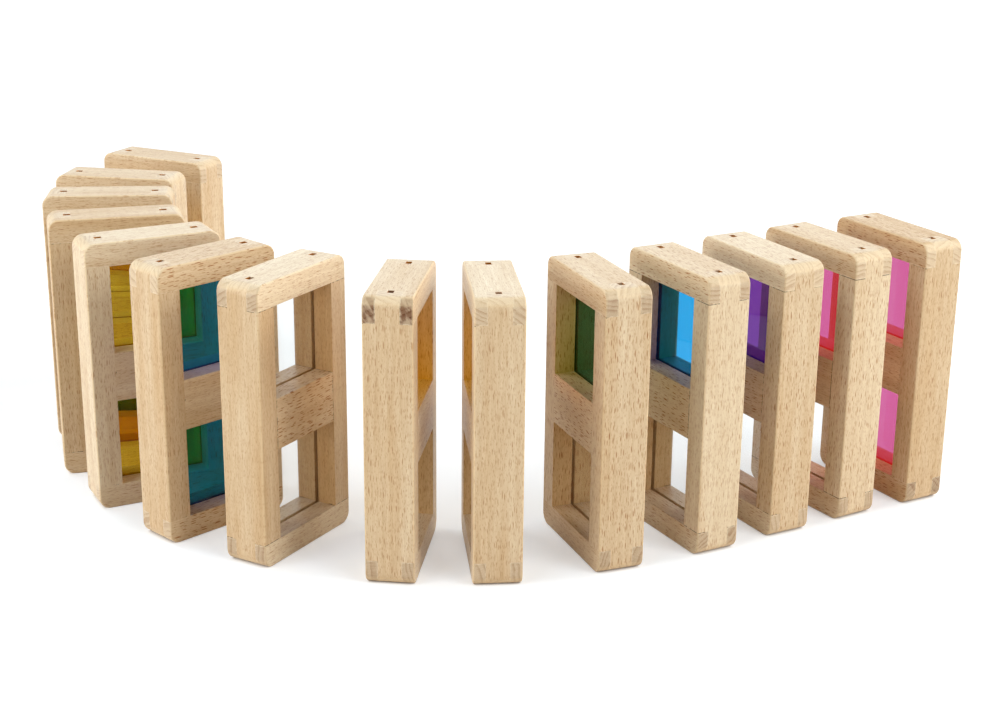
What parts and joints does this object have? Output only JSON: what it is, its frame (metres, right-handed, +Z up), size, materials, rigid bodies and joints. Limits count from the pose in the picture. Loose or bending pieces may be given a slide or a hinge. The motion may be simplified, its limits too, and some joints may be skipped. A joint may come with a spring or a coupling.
{
  "type": "window frame block set",
  "caption": "Set of upright wooden frame blocks with coloured and clear acrylic windows, stood in a curved row so that each block can tip onto the next.",
  "frame": {"origin": "middle of the row's plan, on the surface that the blocks stand on", "axes": "+X along the row's longest side, to the right as seen from outside the bend; +Y towards the open side of the bend; +Z up"},
  "size_m": [0.522, 0.347, 0.15],
  "materials": {
    "beech_stiles": "sanded and clear sealed, satin",
    "beech_rails": "sanded and clear sealed, satin",
    "amber_acrylic": "transparent sheet, gloss",
    "yellow_acrylic": "transparent sheet, gloss",
    "green_acrylic": "transparent sheet, gloss",
    "blue_acrylic": "transparent sheet, gloss",
    "purple_acrylic": "transparent sheet, gloss",
    "pink_acrylic": "transparent sheet, gloss",
    "clear_acrylic": "transparent sheet, gloss"
  },
  "bodies": {
    "block_01": {"block_01_stiles": "beech_stiles", "block_01_rails": "beech_rails", "block_01_upper_pane": "green_acrylic", "block_01_lower_pane": "green_acrylic"},
    "block_02": {"block_02_stiles": "beech_stiles", "block_02_rails": "beech_rails", "block_02_upper_pane": "amber_acrylic", "block_02_lower_pane": "amber_acrylic"},
    "block_03": {"block_03_stiles": "beech_stiles", "block_03_rails": "beech_rails", "block_03_upper_pane": "clear_acrylic", "block_03_lower_pane": "green_acrylic"},
    "block_04": {"block_04_stiles": "beech_stiles", "block_04_rails": "beech_rails", "block_04_upper_pane": "clear_acrylic", "block_04_lower_pane": "amber_acrylic"},
    "block_05": {"block_05_stiles": "beech_stiles", "block_05_rails": "beech_rails", "block_05_upper_pane": "yellow_acrylic", "block_05_lower_pane": "yellow_acrylic"},
    "block_06": {"block_06_stiles": "beech_stiles", "block_06_rails": "beech_rails", "block_06_upper_pane": "blue_acrylic", "block_06_lower_pane": "blue_acrylic"},
    "block_07": {"block_07_stiles": "beech_stiles", "block_07_rails": "beech_rails", "block_07_upper_pane": "clear_acrylic", "block_07_lower_pane": "clear_acrylic"},
    "block_08": {"block_08_stiles": "beech_stiles", "block_08_rails": "beech_rails", "block_08_upper_pane": "amber_acrylic", "block_08_lower_pane": "clear_acrylic"},
    "block_09": {"block_09_stiles": "beech_stiles", "block_09_rails": "beech_rails", "block_09_upper_pane": "amber_acrylic", "block_09_lower_pane": "clear_acrylic"},
    "block_10": {"block_10_stiles": "beech_stiles", "block_10_rails": "beech_rails", "block_10_upper_pane": "green_acrylic", "block_10_lower_pane": "clear_acrylic"},
    "block_11": {"block_11_stiles": "beech_stiles", "block_11_rails": "beech_rails", "block_11_upper_pane": "blue_acrylic", "block_11_lower_pane": "clear_acrylic"},
    "block_12": {"block_12_stiles": "beech_stiles", "block_12_rails": "beech_rails", "block_12_upper_pane": "purple_acrylic", "block_12_lower_pane": "clear_acrylic"},
    "block_13": {"block_13_stiles": "beech_stiles", "block_13_rails": "beech_rails", "block_13_upper_pane": "pink_acrylic", "block_13_lower_pane": "clear_acrylic"},
    "block_14": {"block_14_stiles": "beech_stiles", "block_14_rails": "beech_rails", "block_14_upper_pane": "pink_acrylic", "block_14_lower_pane": "pink_acrylic"}
  },
  "joints": [
    {"name": "block_02_tip", "type": "hinge", "parent": "block_01", "child": "block_02", "pos_m": [-0.22397, 0.07968, 0.001], "axis": [0.9884, -0.1521, 0], "range_deg": [0, 5]},
    {"name": "block_03_tip", "type": "hinge", "parent": "block_01", "child": "block_03", "pos_m": [-0.21776, 0.03169, 0.001], "axis": [0.9954, 0.0958, 0], "range_deg": [0, 8.5]},
    {"name": "block_04_tip", "type": "hinge", "parent": "block_01", "child": "block_04", "pos_m": [-0.20138, -0.01995, 0.001], "axis": [0.9625, 0.2714, 0], "range_deg": [0, 6.5]},
    {"name": "block_05_tip", "type": "hinge", "parent": "block_01", "child": "block_05", "pos_m": [-0.17309, -0.06302, 0.001], "axis": [0.8829, 0.4695, 0], "range_deg": [0, 6.5]},
    {"name": "block_06_tip", "type": "hinge", "parent": "block_01", "child": "block_06", "pos_m": [-0.13352, -0.09942, 0.001], "axis": [0.6915, 0.7224, 0], "range_deg": [0, 6.5]},
    {"name": "block_07_tip", "type": "hinge", "parent": "block_01", "child": "block_07", "pos_m": [-0.08761, -0.12301, 0.001], "axis": [0.4924, 0.8704, 0], "range_deg": [0, 9.5]},
    {"name": "block_08_tip", "type": "hinge", "parent": "block_01", "child": "block_08", "pos_m": [-0.02567, -0.13613, 0.001], "axis": [0.1089, 0.9941, 0], "range_deg": [0, 4.5]},
    {"name": "block_09_tip", "type": "hinge", "parent": "block_01", "child": "block_09", "pos_m": [0.02038, -0.13377, 0.001], "axis": [-0.1045, 0.9945, 0], "range_deg": [0, 8]},
    {"name": "block_10_tip", "type": "hinge", "parent": "block_01", "child": "block_10", "pos_m": [0.07256, -0.11424, 0.001], "axis": [-0.3624, 0.932, 0], "range_deg": [0, 8.5]},
    {"name": "block_11_tip", "type": "hinge", "parent": "block_01", "child": "block_11", "pos_m": [0.11934, -0.08983, 0.001], "axis": [-0.4772, 0.8788, 0], "range_deg": [0, 8.5]},
    {"name": "block_12_tip", "type": "hinge", "parent": "block_01", "child": "block_12", "pos_m": [0.16047, -0.06501, 0.001], "axis": [-0.4772, 0.8788, 0], "range_deg": [0, 6.5]},
    {"name": "block_13_tip", "type": "hinge", "parent": "block_01", "child": "block_13", "pos_m": [0.1988, -0.04132, 0.001], "axis": [-0.5225, 0.8526, 0], "range_deg": [0, 8.5]},
    {"name": "block_14_tip", "type": "hinge", "parent": "block_01", "child": "block_14", "pos_m": [0.24207, -0.01795, 0.001], "axis": [-0.4924, 0.8704, 0], "range_deg": [0, 90]}
  ]
}
